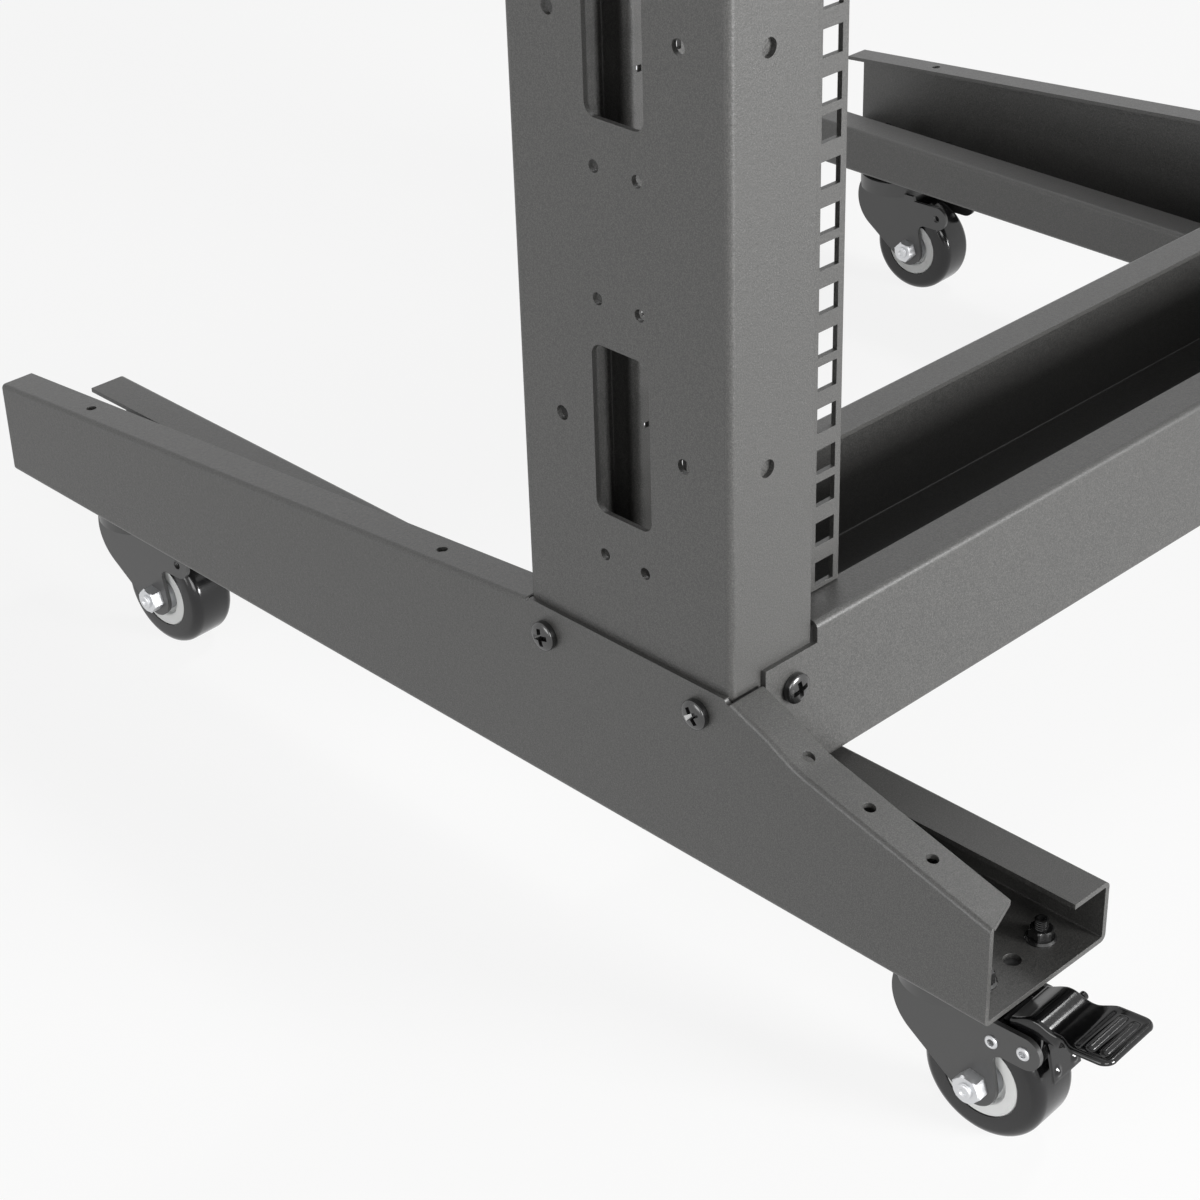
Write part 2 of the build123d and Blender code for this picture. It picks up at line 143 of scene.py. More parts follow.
def buildFloor():
    mesh = bpy.data.meshes.new("studioFloor")
    half = studio["floorSize"] / 2
    corners = [(-half, -half, 0), (half, -half, 0), (half, half, 0), (-half, half, 0)]
    mesh.from_pydata(corners, [], [(0, 1, 2, 3)])
    mesh.materials.append(makePaperSweep())
    floor = bpy.data.objects.new("studioFloor", mesh)
    bpy.context.scene.collection.objects.link(floor)


def hangLamps():
    for name, lamp in lamps.items():
        data = bpy.data.lights.new(name, "AREA")
        data.shape = "SQUARE"
        data.size = lamp["size"]
        data.energy = lamp["watts"]
        light = bpy.data.objects.new(name, data)
        bpy.context.scene.collection.objects.link(light)
        light.location = lamp["place"]
        light.rotation_euler = (lampAim - Vector(lamp["place"])).to_track_quat("-Z", "Y").to_euler()


buildSurround()
buildFloor()
hangLamps()
print("studio built")


# Camera, solved from the straight edges of the posts, beam and feet

cameraView = {
    "fromFootCorner": (-0.5503, -0.4093, 0.5744),  # metres from the low front corner of the left foot
    "right": (0.71702, -0.69648, -0.02822),
    "down": (-0.37656, -0.35296, -0.85652),
    "forward": (0.58659, 0.62477, -0.51535),
    "lens": 80.23,
    "sensor": 36.0,
    "nearest": 0.01,
}


def placeCamera():
    data = bpy.data.cameras.new("photoCamera")
    data.sensor_width = cameraView["sensor"]
    data.lens = cameraView["lens"]
    data.clip_start = cameraView["nearest"]
    camera = bpy.data.objects.new("photoCamera", data)
    bpy.context.scene.collection.objects.link(camera)
    right, down, forward = (Vector(cameraView[k]) for k in ("right", "down", "forward"))
    turn = Matrix((right, -down, -forward)).transposed().to_4x4()
    camera.matrix_world = Matrix.Translation(footLow + Vector(cameraView["fromFootCorner"])) @ turn
    bpy.context.scene.camera = camera


placeCamera()
print("camera placed")


# Finish of the bent sheets: polyester powder, sprayed on and baked. It gives a satin dark grey skin with
# fine orange peel and grain, a little rounded over cut edges

powderCoat = {
    "name": "polyesterPowderCoat",
    "colour": "#282827",
    "fleck": "#52514f",
    "fleckFrom": 0.4,
    "fleckTo": 0.8,
    "roughness": 0.4,
    "smoother": 0.05,     # how far the roughness falls and rises over the orange peel
    "rougher": 0.08,
    "ior": 1.5,
    "specular": 0.85,
    "edge": 0.25 * mm,    # how far the coat rounds a cut edge
    "peel": 1.6 * mm,     # orange peel from crest to crest
    "grit": 0.45 * mm,    # powder grain, drawn coarser than the real 0.1 mm so that it shows
    "relief": 0.09 * mm,
    "bump": 0.8,
}


def makePowderCoat(finish):
    material, tree = newMaterial(finish["name"])
    place = addNode(tree, "ShaderNodeTexCoord").outputs["Object"]
    grit = addNode(tree, "ShaderNodeTexNoise", {"Scale": 1 / finish["grit"], "Detail": 2.0, "Roughness": 0.6},
                   {"Vector": place}).outputs["Fac"]
    peel = addNode(tree, "ShaderNodeTexNoise", {"Scale": 1 / finish["peel"], "Detail": 1.0, "Roughness": 0.5},
                   {"Vector": place}).outputs["Fac"]
    fleck = addNode(tree, "ShaderNodeMapRange",
                    {"From Min": finish["fleckFrom"], "From Max": finish["fleckTo"]}, {"Value": grit})
    tint = addNode(tree, "ShaderNodeMix",
                   {"data_type": "RGBA", 6: linear(finish["colour"]), 7: linear(finish["fleck"])},
                   {0: fleck.outputs[0]})
    height = addNode(tree, "ShaderNodeMath", {"operation": "ADD"}, {0: grit, 1: peel})
    rounded = addNode(tree, "ShaderNodeBevel", {"samples": 4, "Radius": finish["edge"]})
    bump = addNode(tree, "ShaderNodeBump", {"Strength": finish["bump"], "Distance": finish["relief"]},
                   {"Height": height.outputs[0], "Normal": rounded.outputs[0]})
    rough = addNode(tree, "ShaderNodeMapRange",
                    {"To Min": finish["roughness"] - finish["smoother"],
                     "To Max": finish["roughness"] + finish["rougher"]},
                    {"Value": peel})
    skin = addNode(tree, "ShaderNodeBsdfPrincipled",
                   {"IOR": finish["ior"], "Specular IOR Level": finish["specular"]},
                   {"Base Color": tint.outputs[2], "Roughness": rough.outputs[0], "Normal": bump.outputs[0]})
    addNode(tree, "ShaderNodeOutputMaterial", links={"Surface": skin.outputs[0]})
    return material


# Finishes of the small parts, each for one slot of the frame or of the scene's own pieces

plainFinishes = {
    # paint drawn onto pressed steel in a charged bath, then baked: a thin, even satin black
    "blackElectrocoat": {"slot": "caster_steel", "colour": "#2b2b2b", "metallic": 0.0, "roughness": 0.36,
                         "specular": 0.9},
    # zinc plated from a bath onto machined steel: a pale metal with soft, wide glints
    "zincPlate": {"slot": "zinc_bolt", "colour": "#d2d3d5", "metallic": 1.0, "roughness": 0.46,
                  "specular": 0.5},
    # injection moulded nylon: pale grey and slightly waxy
    "hubNylon": {"slot": "hub_plastic", "colour": "#d9dad9", "metallic": 0.0, "roughness": 0.45,
                 "specular": 0.5},
    # polyurethane cast in a polished mould: black, with long smooth highlights round the tread
    "castPolyurethane": {"slot": "tread", "colour": "#141415", "metallic": 0.0, "roughness": 0.16,
                         "specular": 0.5},
    # thick stoved enamel on pressed steel: wet looking black with sharp highlights on each fold
    "glossBlackEnamel": {"slot": "brake_steel", "colour": "#0c0c0d", "metallic": 0.0, "roughness": 0.12,
                         "specular": 0.5},
    # zinc plated and blackened screws: black with small bright glints on the edges
    "blackZincScrew": {"slot": "black_screw", "colour": "#131313", "metallic": 0.0, "roughness": 0.2,
                       "specular": 1.0},
}
plainSkin = {
    "cloud": 1.5 * mm,     # soft unevenness that dipping, casting and moulding leave
    "spread": 0.06,        # how far the roughness falls and rises with it
    "relief": 0.02 * mm,
    "bump": 0.2,
}


def makePlain(name, finish):
    material, tree = newMaterial(name)
    place = addNode(tree, "ShaderNodeTexCoord")
    cloud = addNode(tree, "ShaderNodeTexNoise", {"Scale": 1 / plainSkin["cloud"], "Detail": 2.0},
                    {"Vector": place.outputs["Object"]}).outputs["Fac"]
    rough = addNode(tree, "ShaderNodeMapRange",
                    {"To Min": finish["roughness"] - plainSkin["spread"],
                     "To Max": finish["roughness"] + plainSkin["spread"]},
                    {"Value": cloud})
    bump = addNode(tree, "ShaderNodeBump", {"Strength": plainSkin["bump"], "Distance": plainSkin["relief"]},
                   {"Height": cloud})
    skin = addNode(tree, "ShaderNodeBsdfPrincipled",
                   {"Base Color": linear(finish["colour"]), "Metallic": finish["metallic"],
                    "Specular IOR Level": finish["specular"]},
                   {"Roughness": rough.outputs[0], "Normal": bump.outputs[0]})
    addNode(tree, "ShaderNodeOutputMaterial", links={"Surface": skin.outputs[0]})
    return material


finishes = {"powder_coat": makePowderCoat(powderCoat)}
for finishName, plainFinish in plainFinishes.items():
    finishes[plainFinish["slot"]] = makePlain(finishName, plainFinish)
slotOf = {entry["node"]: entry["material_slot"] for entry in frame["record"]["subparts"]}
for nodeName, node in nodes.items():
    for nodeSlot in node.material_slots:
        nodeSlot.material = finishes[slotOf[nodeName]]
print("finishes given to", len(nodes), "frame nodes")


# Mesh tools

def circle(radius, height, sides):
    angles = [2 * math.pi * k / sides for k in range(sides)]
    return [(radius * math.cos(a), radius * math.sin(a), height) for a in angles]


def joinRings(form, lower, upper):
    count = max(len(lower), len(upper))
    for k in range(count):
        n = k + 1
        corners = (lower[k % len(lower)], lower[n % len(lower)], upper[n % len(upper)], upper[k % len(upper)])
        corners = list(dict.fromkeys(corners))    # at the axis two corners are one
        if len(corners) > 2:
            form.faces.new(corners)


def turned(form, profile, sides, closed=False):
    rings = []
    for radius, height in profile:
        points = circle(radius, height, sides) if radius else [(0, 0, height)]
        rings.append([form.verts.new(point) for point in points])
    for lower, upper in zip(rings, rings[1:]):
        joinRings(form, lower, upper)
    if closed:
        joinRings(form, rings[-1], rings[0])


def lofted(form, outlines):
    rings = [[form.verts.new(point) for point in outline] for outline in outlines]
    for lower, upper in zip(rings, rings[1:]):
        joinRings(form, lower, upper)
    form.faces.new(list(reversed(rings[0])))
    form.faces.new(rings[-1])


def sheetFromGrid(form, grid):
    for near, far in zip(grid, grid[1:]):
        for k in range(len(near) - 1):
            form.faces.new((near[k], near[k + 1], far[k + 1], far[k]))


def moveNew(form, made, move):    # made counts the vertices that stay where they are
    form.verts.ensure_lookup_table()
    for vert in form.verts[made:]:
        vert.co = move(*vert.co)


def arc(middle, radius, start, end, steps):
    angles = [math.radians(start + (end - start) * k / steps) for k in range(steps + 1)]
    return [(middle[0] + radius * math.cos(a), middle[1] + radius * math.sin(a)) for a in angles]


smoothBelow = math.radians(32)    # edges that turn less are shaded round
sheetSmoothBelow = math.radians(60)


def addPiece(name, form, finish, body, place, smooth=smoothBelow):
    bmesh.ops.recalc_face_normals(form, faces=form.faces)
    mesh = bpy.data.meshes.new(name)
    form.to_mesh(mesh)
    form.free()
    mesh.materials.append(finish)
    mesh.shade_smooth()
    mesh.set_sharp_from_angle(angle=smooth)
    piece = bpy.data.objects.new(name, mesh)
    bpy.context.scene.collection.objects.link(piece)
    piece.matrix_world = place
    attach(piece, body)
    return piece


def carve(piece, cutter):
    mesh = bpy.data.meshes.new("cutter")
    bmesh.ops.recalc_face_normals(cutter, faces=cutter.faces)
    cutter.to_mesh(mesh)
    cutter.free()
    tool = bpy.data.objects.new("cutter", mesh)
    bpy.context.scene.collection.objects.link(tool)
    tool.matrix_world = piece.matrix_world
    cut = piece.modifiers.new("recess", "BOOLEAN")
    cut.operation = "DIFFERENCE"
    cut.solver = "EXACT"
    cut.object = tool
    bpy.context.view_layer.update()
    carved = bpy.data.meshes.new_from_object(piece.evaluated_get(bpy.context.evaluated_depsgraph_get()))
    piece.modifiers.clear()
    piece.data = carved
    bpy.data.objects.remove(tool)
    carved.set_sharp_from_angle(angle=smoothBelow)


joints = {joint["name"]: joint for joint in frame["joints"]}
faceLeft = Matrix.Rotation(math.radians(-90), 4, "Y")    # local Z points to -X
faceRight = Matrix.Rotation(math.radians(90), 4, "Y")
faceFront = Matrix.Rotation(math.radians(90), 4, "X")    # local Z points to -Y
faceBack = Matrix.Rotation(math.radians(-90), 4, "X")


def turnedBy(degrees):
    return Matrix.Rotation(math.radians(degrees), 4, "Z")


# Frame screws: M6 pan heads with a cross recess, black

frameScrew = {
    "sides": 48,
    "headRadius": 5.7 * mm,
    "headHeight": 3.6 * mm,
    "rimFrom": 0.4 * mm,
    "rimHeight": 2.2 * mm,
    "seat": 0.97,            # radius where the head meets the sheet, as a share of the head's
    "sunk": 0.5 * mm,        # how far the head runs on into the sheet
    "sunkShare": 0.9,
    "domeSteps": 8,
    "recessReach": 4.0 * mm,
    "recessArm": 1.1 * mm,   # half the width of an arm of the cross
    "recessDepth": 2.5 * mm,
    "recessOver": 1.0 * mm,
    "recessTaper": (0.55, 1.08),                    # size of the cross at its floor and just over the head
    "wallPlaces": ((205.8, 64.4), (129.6, 65.0)),   # from the foot's front end and its underside, in mm
    "beamInset": 31.6 * mm,
    "beamDrop": 20.5 * mm,   # from the open edge of the beam
    "firstTurn": 12,         # degrees by which the cross is turned, as a hand left it
    "nextTurn": 23,
}


def frameScrewAt(name, place, turn):
    size = frameScrew
    edge, rim = size["headRadius"], size["rimHeight"]
    dome = [(edge * math.cos(a), rim + (size["headHeight"] - rim) * math.sin(a))
            for a in [math.pi / 2 * k / size["domeSteps"] for k in range(size["domeSteps"])]]
    form = bmesh.new()
    turned(form, [(0, -size["sunk"]), (edge * size["sunkShare"], -size["sunk"]), (edge * size["seat"], 0),
                  (edge, size["rimFrom"]), *dome, (0, size["headHeight"])], size["sides"])
    screw = addPiece(name, form, finishes["black_screw"], "frame", place @ turnedBy(turn))
    reach, arm = size["recessReach"], size["recessArm"]
    cross = []
    corner = [(arm, reach), (arm, arm), (reach, arm)]
    for quarter in range(4):
        cross += corner
        corner = [(y, -x) for x, y in corner]
    heights = (size["headHeight"] - size["recessDepth"], size["headHeight"] + size["recessOver"])
    cutter = bmesh.new()
    lofted(cutter, [[(x * share, y * share, height) for x, y in cross]
                    for share, height in zip(size["recessTaper"], heights)])
    carve(screw, cutter)


beamLow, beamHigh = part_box("beam_bottom")
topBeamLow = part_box("beam_top")[0]
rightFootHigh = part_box("foot_right")[1]
screwHeights = {"bottom": beamHigh.z - frameScrew["beamDrop"], "top": topBeamLow.z + frameScrew["beamDrop"]}
for hand, face, wallX, sign in (("left", faceLeft, footLow.x, 1), ("right", faceRight, rightFootHigh.x, -1)):
    for k, (forward, up) in enumerate(frameScrew["wallPlaces"]):
        spot = Vector((wallX, footLow.y + forward * mm, footLow.z + up * mm))
        turn = frameScrew["firstTurn"] + frameScrew["nextTurn"] * k
        frameScrewAt(f"wallScrew_{hand}_{k}", Matrix.Translation(spot) @ face, turn)
    beamX = (footLow.x + frameScrew["beamInset"]) * sign
    for level, z in screwHeights.items():
        for side, beamFace, y in (("front", faceFront, beamLow.y), ("back", faceBack, beamHigh.y)):
            place = Matrix.Translation((beamX, y, z)) @ beamFace
            frameScrewAt(f"beamScrew_{level}_{side}_{hand}", place, frameScrew["firstTurn"])
print("frame screws made")


# Hexagon nuts and threads, shared by the caster and axle bolts

hexagon = {
    "steps": 60,
    "crown": 0.4925,        # radius of the crown's flat circle, as a share of the width across flats
}
thread = {
    "sides": 32,
    "crestFrom": 0.2,       # places along one turn, as shares of the pitch
    "root": 0.55,
    "crestTo": 0.9,
    "endChamfer": 0.3,
    "dimpleRim": 0.55,      # radii of the dimple in the bolt's end, as shares of the bolt's
    "dimpleFloor": 0.35,
}


def hexNut(form, across, low, high, chamfer):
    outlines = []
    for height, limit in ((low, across), (high - chamfer, across), (high, across * hexagon["crown"])):
        outline = []
        for k in range(hexagon["steps"]):
            a = 2 * math.pi * k / hexagon["steps"]
            reach = min(across / 2 / math.cos(a % (math.pi / 3) - math.pi / 6), limit)
            outline.append((reach * math.cos(a), reach * math.sin(a), height))
        outlines.append(outline)
    lofted(form, outlines)


def threadedEnd(form, radius, low, high, pitch, depth, dimple):
    profile = [(0, low), (radius, low)]
    height = low
    while height + pitch < high:
        profile += [(radius, height + thread["crestFrom"] * pitch),
                    (radius - depth, height + thread["root"] * pitch),
                    (radius, height + thread["crestTo"] * pitch)]
        height += pitch
    profile += [(radius, high - thread["endChamfer"] * pitch), (radius - depth, high),
                (radius * thread["dimpleRim"], high), (radius * thread["dimpleFloor"], high - dimple),
                (0, high - dimple)]
    turned(form, profile, thread["sides"])


# Caster fastenings: M5 flange nuts on bolts through the foot's floor, black

casterNut = {
    "flangeSides": 48,
    "boltSides": 32,
    "across": 8.0 * mm,
    "height": 4.6 * mm,
    "chamfer": 0.42 * mm,
    "flangeRadius": 5.6 * mm,
    "flangeEdge": 0.35 * mm,
    "flangeHeight": 1.1 * mm,
    "flangeSlope": 0.7 * mm,
    "hexFrom": 0.66 * mm,
    "boltRadius": 2.45 * mm,
    "boltFrom": 3.6 * mm,
    "boltAbove": 3.9 * mm,
    "pitch": 0.9 * mm,
    "threadDepth": 0.5 * mm,
    "dimple": 0.3 * mm,
    "boltHeadRadius": 4.6 * mm,
    "boltHeadHeight": 2.6 * mm,
    "boltHeadSide": 1.3 * mm,
    "boltHeadShoulder": (3.45 * mm, 2.34 * mm),   # radius and depth where the head's slope meets its crown
    "spread": (32.0 * mm, 45.0 * mm),
    "floor": 2.0 * mm,
    "plate": 2.5 * mm,
    "firstTurn": 8,
    "nextTurn": 17,
}


def casterNutAt(name, spot, turn):
    size = casterNut
    form = bmesh.new()
    edge, rise = size["flangeRadius"], size["flangeHeight"]
    flange = [(0, 0), (edge, 0), (edge, size["flangeEdge"]), (edge - size["flangeSlope"], rise), (0, rise)]
    turned(form, flange, size["flangeSides"])
    hexNut(form, size["across"], size["hexFrom"], size["height"], size["chamfer"])
    threadedEnd(form, size["boltRadius"], size["boltFrom"], size["height"] + size["boltAbove"], size["pitch"],
                size["threadDepth"], size["dimple"])
    head, radius = -size["floor"] - size["plate"], size["boltHeadRadius"]
    shoulderRadius, shoulderDrop = size["boltHeadShoulder"]
    boltHead = [(0, head), (radius, head), (radius, head - size["boltHeadSide"]),
                (shoulderRadius, head - shoulderDrop), (0, head - size["boltHeadHeight"])]
    turned(form, boltHead, size["boltSides"])
    place = Matrix.Translation(spot) @ turnedBy(turn)
    addPiece(name, form, finishes["black_screw"], "frame", place)


# Casters. Local frame: origin on the swivel axis at the plate's top, the wheel trails towards -Y

def casterPlace(corner):
    swivel, roll = (Vector(joints[kind + corner]["pos_m"]) for kind in ("swivel_", "roll_"))
    reach = roll - swivel
    return Matrix.Translation(swivel) @ Matrix.Rotation(math.atan2(reach.x, -reach.y), 4, "Z")


wheel = {
    "tyreSides": 128,
    "hubSides": 96,
    "shoulderSteps": 12,
    "trail": 19.0 * mm,
    "axleDrop": 46.0 * mm,
    "radius": 25.0 * mm,
    "halfWidth": 11.0 * mm,
    "sideFlat": 0.6 * mm,
    "shoulder": 4.6 * mm,
    "shoulderFrom": 6,          # degrees of the shoulder's arc where the side goes over into it
    "hubRadius": 15.6 * mm,
    "hubGap": 0.02 * mm,
    "hubInset": 0.2 * mm,
    "hubEdge": 1.2 * mm,
    "hubLip": 0.5 * mm,
    "dishRadius": 10.2 * mm,
    "dishDepth": 2.4 * mm,
    "dishDraft": 0.4 * mm,
    "bore": 8.1 * mm,
}


def axlePlace(corner):
    return casterPlace(corner) @ Matrix.Translation((0, -wheel["trail"], -wheel["axleDrop"])) @ faceLeft


def mirroredProfile(side):
    return side + [(radius, -height) for radius, height in reversed(side)]


def wheelAt(corner):
    size, body, place = wheel, "wheel_" + corner, axlePlace(corner)
    half, shoulder = size["halfWidth"], size["shoulder"]
    side = [(size["hubRadius"], -half), (size["hubRadius"] + size["sideFlat"], -half)]
    middle = (size["radius"] - shoulder, shoulder - half)
    side += arc(middle, shoulder, size["shoulderFrom"] - 90, 0, size["shoulderSteps"])
    form = bmesh.new()
    turned(form, mirroredProfile(side), size["tyreSides"], closed=True)
    tyre = addPiece(f"tyre_{corner}", form, finishes["tread"], body, place)
    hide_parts("wheel_tyre_" + corner)

    face, lip, dish = size["hubInset"] - half, size["hubLip"], size["dishRadius"]
    rim = size["hubRadius"] - size["hubGap"]
    dishFloor = face + size["dishDepth"]
    side = [(rim, face + size["hubEdge"]), (rim, face + lip), (size["hubRadius"] - lip, face),
            (dish + lip, face), (dish, face + lip), (dish - size["dishDraft"], dishFloor),
            (size["bore"], dishFloor)]
    form = bmesh.new()
    turned(form, mirroredProfile(side), size["hubSides"], closed=True)
    hub = addPiece(f"hub_{corner}", form, finishes["hub_plastic"], body, place)
    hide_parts("wheel_hub_" + corner)


# Axle: zinc plated bolt with a hexagon nut on the outer side and a hexagon head on the inner one

axleBolt = {
    "sides": 32,
    "across": 10.5 * mm,
    "height": 5.2 * mm,
    "chamfer": 0.6 * mm,
    "legOutside": 14.5 * mm,
    "legInside": 12.5 * mm,
    "boreRadius": 4.0 * mm,
    "boltRadius": 2.95 * mm,
    "boltPast": 1.3 * mm,
    "threadIn": 1.0 * mm,      # how far the thread runs back into the nut
    "pitch": 1.0 * mm,
    "threadDepth": 0.35 * mm,
    "dimple": 0.7 * mm,
    "turn": 18,
}


def axleAt(corner):
    size = axleBolt
    inside, out = size["legInside"], size["legOutside"]
    end = out + size["height"]
    form = bmesh.new()
    for radius, low, high in ((size["boreRadius"], -inside, inside), (size["boltRadius"], inside, out),
                              (size["boltRadius"], -out, -inside)):
        turned(form, [(0, low), (radius, low), (radius, high), (0, high)], size["sides"])
    hexNut(form, size["across"], out, end, size["chamfer"])
    threadedEnd(form, size["boltRadius"], end - size["threadIn"], end + size["boltPast"], size["pitch"],
                size["threadDepth"], size["dimple"])
    made = len(form.verts)
    hexNut(form, size["across"], out, end, size["chamfer"])
    moveNew(form, made, lambda x, y, z: (x, -y, -z))
    axle = addPiece(f"axleBolt_{corner}", form, finishes["zinc_bolt"], "swivel_" + corner,
                    axlePlace(corner) @ turnedBy(size["turn"]))
    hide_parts("caster_axle_" + corner)


for corner in ("front_left", "front_right", "back_left", "back_right"):
    swivel = Vector(joints["swivel_" + corner]["pos_m"])
    for k, (sideX, sideY) in enumerate(((-1, -1), (1, -1), (-1, 1), (1, 1))):
        acrossSpread, alongSpread = casterNut["spread"]
        spot = swivel + Vector((sideX * acrossSpread / 2, sideY * alongSpread / 2, casterNut["floor"]))
        casterNutAt(f"casterNut_{corner}_{k}", spot, casterNut["firstTurn"] + casterNut["nextTurn"] * k)
    wheelAt(corner)
    axleAt(corner)
print("wheels, axles and caster nuts made")


# Sheet forms of the lock, in mm: trail runs forward from the swivel axis, drop down from the plate's top

def eased(start, end, value):
    share = min(max((value - start) / (end - start), 0), 1)
    return share * share * (3 - 2 * share)


def dropAlong(path, trail):
    for (trail0, drop0), (trail1, drop1) in zip(path, path[1:]):
        if trail <= trail1:
            return drop0 + (drop1 - drop0) * (trail - trail0) / (trail1 - trail0)
    return path[-1][1]


def softDropAlong(path, trail, reach):
    places = [min(max(trail + reach * share, path[0][0]), path[-1][0]) for share in (-1, -0.5, 0, 0.5, 1)]
    return sum(dropAlong(path, place) for place in places) / len(places)


sheetEdge = {
    "width": 0.3 * mm,
    "segments": 2,
    "sharperThan": math.radians(50),
}


def thicken(piece, thickness):
    shell = piece.modifiers.new("sheet", "SOLIDIFY")
    shell.thickness = thickness
    shell.offset = -1
    rounded = piece.modifiers.new("edge", "BEVEL")
    rounded.width = sheetEdge["width"]
    rounded.segments = sheetEdge["segments"]
    rounded.limit_method = "ANGLE"
    rounded.angle_limit = sheetEdge["sharperThan"]


def crossPlate(form, outline, low, high):    # a plate whose faces lie low and high across the fork
    lofted(form, [[(x, -trail * mm, -drop * mm) for trail, drop in outline] for x in (low * mm, high * mm)])


def crossTurned(form, middle, profile, sides, out=1, base=0):    # turned on an axis that runs across the fork
    made = len(form.verts)
    turned(form, [(radius * mm, height * mm) for radius, height in profile], sides)
    trail, drop = middle
    moveNew(form, made, lambda x, y, z: (base * mm + out * z, x - trail * mm, y - drop * mm))


# Silver rivets on the fork's cheeks

rivet = {
    "sides": 32,
    "profile": ((0, 0), (2.6, 0), (2.6, 0.405), (2.236, 0.81), (1.768, 0.9), (1.404, 0.765), (1.3, 0.36),
                (1.17, -0.9), (0, -0.99)),    # radius and height, over the rolled rim and down into the eye
    "cheek": 14.5,        # outside of the fork's cheeks, from the middle
    "silverFrom": 13.2,   # what lies further out is the bare rivet
}


def rivetRing(form, middle, side):
    crossTurned(form, middle, rivet["profile"], rivet["sides"], side, side * rivet["cheek"])


def showBareRivets(piece, below):
    piece.data.materials.append(finishes["zinc_bolt"])
    for polygon in piece.data.polygons:
        if abs(polygon.center.x) > rivet["silverFrom"] * mm and polygon.center.z < -below * mm:
            polygon.material_index = 1


# Lock pedal: one pressed sheet with folded sides, a crest over the pin, a ribbed tread and lugs round the pin

pedal = {
    "sheet": 1.2,
    "path": ((30.0, 13.2), (33.0, 11.6), (36.5, 9.5), (39.5, 8.7), (42.0, 9.3), (46.0, 10.9), (50.0, 10.6),
             (55.5, 10.0), (63.0, 9.3), (71.0, 8.7)),    # trail and drop of the sheet's top along its middle
    "pathSoftening": 2.0,
    "step": 0.75,
    "steps": 52,
    "halfSteps": 22,
    "cornerAngles": range(20, 91, 10),
    "lugSteps": 12,
    "pinSides": 24,
    "neckHalf": 11.6,
    "treadHalf": 15.0,
    "flare": (49.0, 56.5),
    "corner": 4.6,
    "foldRadius": 1.5,
    "foldLeast": 0.15,      # how far the folded edge reaches below the tread's fold
    "foldFade": (49.0, 53.5),
    "neckFold": 15.4,       # how far below the plate's top the neck's folded sides reach
    "dish": 0.7,
    "dishEdge": (1.2, 3.8),
    "dishFade": (54.5, 58.5),
    "ribs": ((60.4, 10.4), (65.6, 9.8)),    # trail and half length
    "ribRise": 1.1,
    "ribSpread": 0.992,
    "ribEnd": (1.0, -0.4),
    "pin": (38.0, 22.3),
    "pinRadius": 1.9,
    "lugRadius": 4.8,
    "lugTop": 13.4,
    "lugSheet": 1.15,
    "lugInset": 0.05,
    "knob": (42.5, 12.6),    # the pin's head on the far side
    "knobShank": 1.19,
    "knobRadius": 1.7,
    "knobFrom": 10.0,
    "knobHead": (12.4, 14.6),
    "knobChamfer": 0.5,
    "silverBelow": 17.3,
}


def pedalHalf(trail):
    return pedal["neckHalf"] + (pedal["treadHalf"] - pedal["neckHalf"]) * eased(*pedal["flare"], trail)


def pedalRise(trail, x, edgeRoom):    # the tread's dish, with its ribs standing in it
    size = pedal
    rise = -size["dish"] * eased(*size["dishEdge"], edgeRoom) * eased(*size["dishFade"], trail)
    for ribTrail, ribHalf in size["ribs"]:
        endFrom, endTo = (ribHalf + end for end in size["ribEnd"])
        rise += (size["ribRise"] * math.exp(-((trail - ribTrail) / size["ribSpread"]) ** 2)
                 * eased(endFrom, endTo, abs(x)))
    return rise


def pedalLine(trail):    # places and drops across the pedal, from one folded edge to the other
    size = pedal
    corner, fold, tip = size["corner"], size["foldRadius"], size["path"][-1][0]
    half = pedalHalf(trail)
    past = max(trail - tip + corner, 0)
    width = half - corner + math.sqrt(max(corner ** 2 - past ** 2, 0))
    drop = softDropAlong(size["path"], trail, size["pathSoftening"])
    line = []
    for k in range(-size["halfSteps"], size["halfSteps"] + 1):
        x = width * math.sin(math.pi / 2 * k / size["halfSteps"])
        edgeRoom = min(half - abs(x), tip - trail)
        cornerRoom = corner - math.hypot(max(abs(x) - half + corner, 0), past)
        rim = cornerRoom if past and abs(x) > half - corner else edgeRoom
        rim = max(min(rim, fold), 0)
        foldDrop = fold - math.sqrt(fold ** 2 - (fold - rim) ** 2)
        line.append((x, drop + foldDrop - pedalRise(trail, x, edgeRoom)))
    fade = 1 - eased(*size["foldFade"], trail)
    foldEnd = drop + fold
    reach = size["foldLeast"] + max(size["neckFold"] - foldEnd - size["foldLeast"], 0) * fade
    left = [(-width, foldEnd + reach * share) for share in (1.0, 0.5)]
    right = [(width, foldEnd + reach * share) for share in (0.5, 1.0)]
    return left + line + right


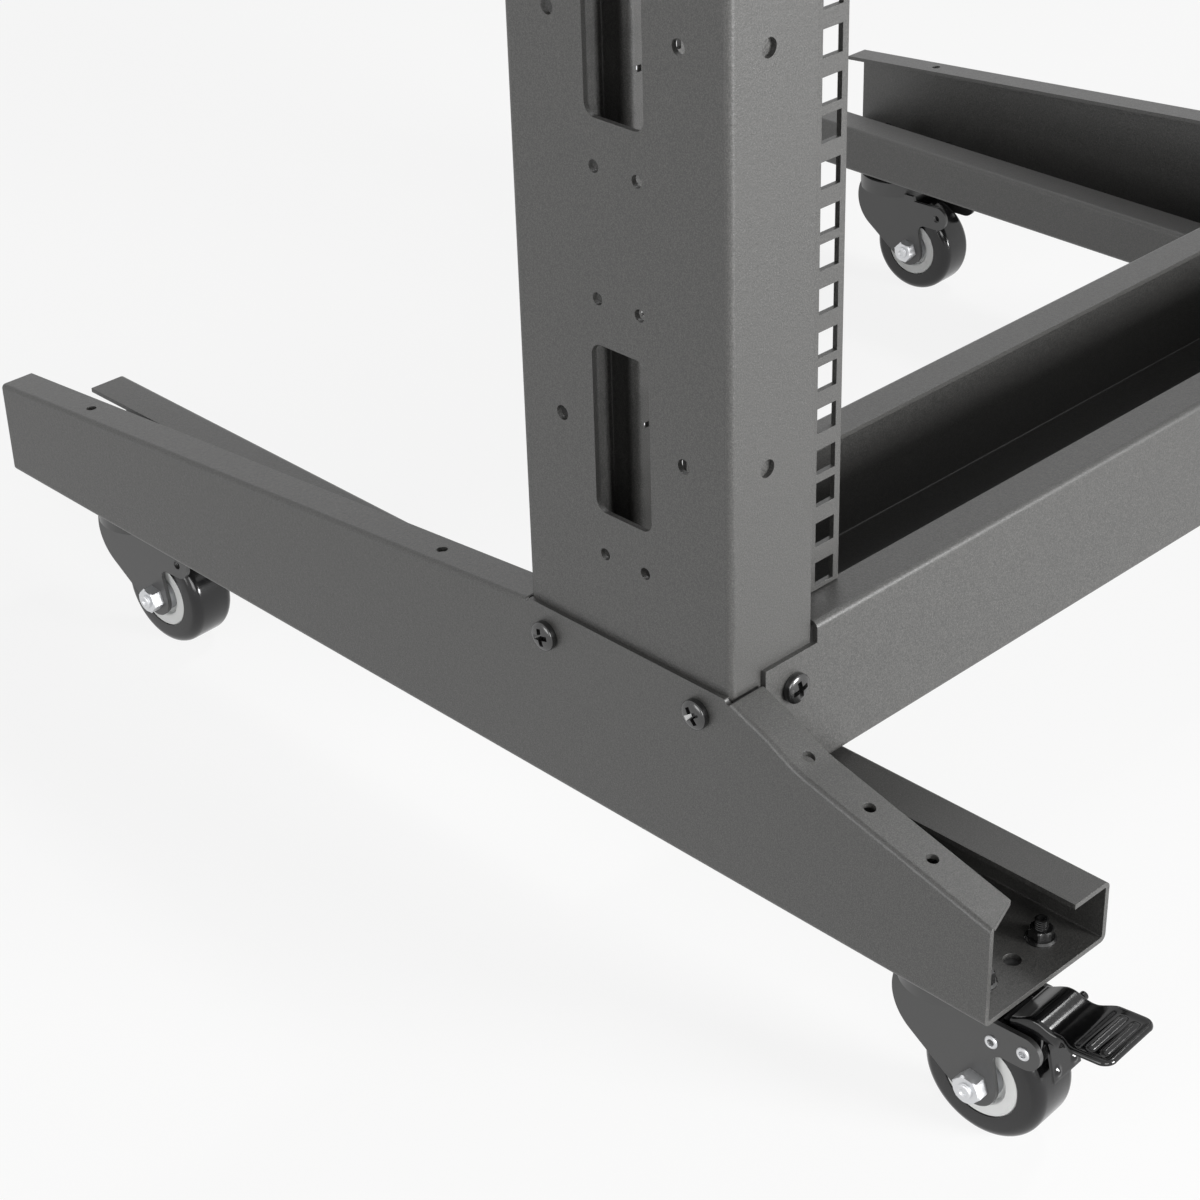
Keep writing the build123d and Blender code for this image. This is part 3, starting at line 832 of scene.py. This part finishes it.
def pedalAt(corner):
    size, place, body = pedal, casterPlace(corner), "pedal_" + corner
    start, tip = size["path"][0][0], size["path"][-1][0]
    trails = [start + size["step"] * k for k in range(size["steps"])]
    trails += [tip - size["corner"] * (1 - math.sin(math.radians(a))) for a in size["cornerAngles"]]
    form = bmesh.new()
    sheetFromGrid(form, [[form.verts.new((x * mm, -trail * mm, -drop * mm)) for x, drop in pedalLine(trail)]
                         for trail in sorted(trails)])
    piece = addPiece(f"pedal_{corner}", form, finishes["brake_steel"], body, place,
                     sheetSmoothBelow)
    thicken(piece, size["sheet"] * mm)

    form = bmesh.new()
    pinTrail, pinDrop = size["pin"]
    lug = arc(size["pin"], size["lugRadius"], 0, 180, size["lugSteps"])
    lug += [(pinTrail - size["lugRadius"], size["lugTop"]), (pinTrail + size["lugRadius"], size["lugTop"])]
    for side in (-1, 1):
        outer = size["neckHalf"] - size["lugInset"]
        low, high = sorted((side * outer, side * (outer - size["lugSheet"])))
        crossPlate(form, lug, low, high)
        rivetRing(form, size["pin"], side)
    cheek, thin = rivet["cheek"], size["pinRadius"]
    pinProfile = [(0, -cheek), (thin, -cheek), (thin, cheek), (0, cheek)]
    crossTurned(form, size["pin"], pinProfile, size["pinSides"])
    shank, radius, chamfer = size["knobShank"], size["knobRadius"], size["knobChamfer"]
    headFrom, headTo = size["knobHead"]
    knobProfile = [(0, size["knobFrom"]), (shank, size["knobFrom"]), (shank, headFrom), (radius, headFrom),
                   (radius, headTo - chamfer), (radius - chamfer, headTo), (0, headTo)]
    crossTurned(form, size["knob"], knobProfile, size["pinSides"])
    pin = addPiece(f"pedalPin_{corner}", form, finishes["brake_steel"], body, place)
    showBareRivets(pin, size["silverBelow"])
    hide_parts("brake_pedal_" + corner)


# Brake leaf: a spring strip over the wheel with its end bent down, two pressed bumps and a shoe under it

leaf = {
    "sheet": 1.2,
    "halfWidth": 8.0,
    "path": ((25.2, 18.0), (41.5, 18.8), (43.3, 19.6), (44.2, 21.5), (47.0, 35.0)),
    "step": 1.0,
    "steps": 17,
    "bendSteps": 14,
    "halfSteps": 20,
    "bumps": ((-5.2, 31.4), (4.6, 31.4)),
    "bumpRadius": 2.3,
    "bumpRise": 1.3,
    "shoe": ((36.4, 27.2), (36.4, 19.6), (42.2, 19.8), (42.2, 27.4)),
    "shoeHalf": 9.0,
    "rivetPlace": (25.2, 24.1),
}


def leafSpots():
    path = leaf["path"]
    trails = [path[0][0] + leaf["step"] * k for k in range(leaf["steps"])]
    spots = [(trail, dropAlong(path, trail)) for trail in trails]
    for (trail0, drop0), (trail1, drop1) in zip(path[1:], path[2:]):
        shares = [k / leaf["bendSteps"] for k in range(1, leaf["bendSteps"] + 1)]
        spots += [(trail0 + (trail1 - trail0) * share, drop0 + (drop1 - drop0) * share) for share in shares]
    return spots


def leafLine(trail, drop):
    line = []
    for k in range(-leaf["halfSteps"], leaf["halfSteps"] + 1):
        x = leaf["halfWidth"] * k / leaf["halfSteps"]
        rise = sum(leaf["bumpRise"] * eased(leaf["bumpRadius"], 0, math.hypot(x - bumpX, drop - bumpDrop))
                   for bumpX, bumpDrop in leaf["bumps"])
        line.append((x * mm, -(trail + rise) * mm, -drop * mm))
    return line


def leafAt(corner):
    place, body = casterPlace(corner), "swivel_" + corner
    form = bmesh.new()
    sheetFromGrid(form, [[form.verts.new(point) for point in leafLine(*spot)] for spot in leafSpots()])
    piece = addPiece(f"brakeLeaf_{corner}", form, finishes["brake_steel"], body, place,
                     sheetSmoothBelow)
    thicken(piece, leaf["sheet"] * mm)
    form = bmesh.new()
    crossPlate(form, leaf["shoe"], -leaf["shoeHalf"], leaf["shoeHalf"])
    for side in (-1, 1):
        rivetRing(form, leaf["rivetPlace"], side)
    shoe = addPiece(f"brakeShoe_{corner}", form, finishes["brake_steel"], body, place)
    showBareRivets(shoe, 0)
    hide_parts("brake_leaf_" + corner)


for corner in ("front_left", "front_right"):
    pedalAt(corner)
    leafAt(corner)
print("pedals and brake leaves made")


bpy.context.scene.view_settings.view_transform = "Standard"
bpy.context.view_layer.update()
